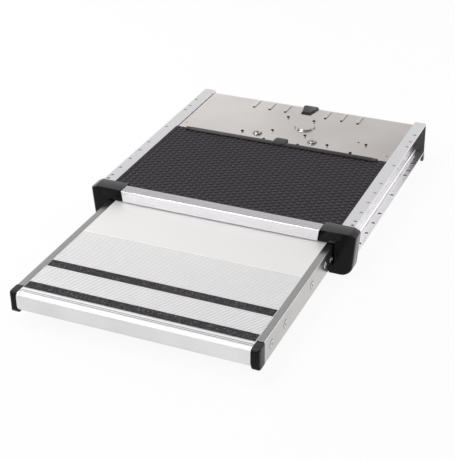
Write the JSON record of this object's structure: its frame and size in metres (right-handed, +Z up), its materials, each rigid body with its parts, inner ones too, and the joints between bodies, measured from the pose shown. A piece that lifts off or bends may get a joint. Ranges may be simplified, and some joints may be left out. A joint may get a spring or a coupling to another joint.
{
  "type": "caravan pull out step",
  "caption": "Flat entrance step for a caravan: a ribbed aluminium tread that a belt drive slides out of a low cassette.",
  "frame": {"origin": "middle of the pulled out step's width and length, on the surface that its caps and feet stand on", "axes": "+X to the right seen from the front, +Y to the rear of the cassette, +Z up; the tread comes out towards -Y"},
  "size_m": [0.471, 0.768, 0.0748],
  "materials": {
    "rail_aluminium": "natural anodised extrusion",
    "beam_aluminium": "natural anodised extrusion",
    "tread_aluminium": "satin anodised extrusion and sheet",
    "side_aluminium": "natural anodised extrusion",
    "black_plastic": "moulded polyamide, fine texture",
    "plate_black": "powder coated pressed sheet",
    "pan_steel": "pressed stainless sheet",
    "screw_steel": "zinc plated",
    "grip_tape": "gritty anti-slip tape",
    "guide_plastic": "natural acetal",
    "zinc_steel": "zinc plated sheet and tube",
    "gear_casting": "die casting, as cast",
    "motor_steel": "chromated steel can",
    "belt_rubber": "toothed rubber belt"
  },
  "bodies": {
    "cassette": {"rail_left": "rail_aluminium", "rail_right": "rail_aluminium", "front_beam": "beam_aluminium", "beam_cap_left": "black_plastic", "beam_cap_right": "black_plastic", "cap_screws": "screw_steel", "top_plate": "plate_black", "plate_bar": "black_plastic", "rear_pan": "pan_steel", "pan_clip_front": "black_plastic", "pan_clip_rear": "black_plastic", "pan_screws": "screw_steel", "pan_bolts": "screw_steel", "rear_wall": "zinc_steel", "rail_end_left": "black_plastic", "rail_end_right": "black_plastic", "rail_end_screws": "screw_steel", "upper_guide_left": "guide_plastic", "upper_guide_right": "guide_plastic", "lower_guide_left": "guide_plastic", "lower_guide_right": "guide_plastic", "motor_bracket": "zinc_steel", "bracket_spacers": "zinc_steel", "gearbox": "gear_casting", "motor_can": "motor_steel", "motor_connector": "black_plastic", "drive_belt": "belt_rubber", "idler_bracket": "zinc_steel", "idler_pin": "screw_steel"},
    "tread": {"side_profile_left": "side_aluminium", "side_profile_right": "side_aluminium", "nose_profile": "tread_aluminium", "nose_cap_left": "black_plastic", "nose_cap_right": "black_plastic", "deck_ribbed": "tread_aluminium", "deck_plain": "tread_aluminium", "deck_bearers": "side_aluminium", "rear_crossbar": "side_aluminium", "grip_strip_front": "grip_tape", "grip_strip_rear": "grip_tape", "side_screws": "screw_steel", "tail_plug_left": "black_plastic", "tail_plug_right": "black_plastic", "belt_clamp": "guide_plastic"},
    "drive_shaft": {"drive_pulley": "gear_casting", "output_shaft": "screw_steel"},
    "idler": {"idler_pulley": "guide_plastic"}
  },
  "joints": [
    {"name": "tread_slide", "type": "slide", "parent": "cassette", "child": "tread", "axis": [0, 1, 0], "range_m": [0, 0.286]},
    {"name": "pulley_spin", "type": "hinge", "parent": "cassette", "child": "drive_shaft", "pos_m": [0.019, 0.291, 0.063], "axis": [0, 0, 1], "range_deg": [-793, 0]},
    {"name": "idler_spin", "type": "hinge", "parent": "cassette", "child": "idler", "pos_m": [0.01184, -0.03107, 0.063], "axis": [0, 0, 1], "range_deg": [-1213, 0]}
  ],
  "couplings": [
    {"joint": "pulley_spin", "follows": "tread_slide", "rad_per_m": -48.332},
    {"joint": "idler_spin", "follows": "tread_slide", "rad_per_m": -73.92}
  ]
}
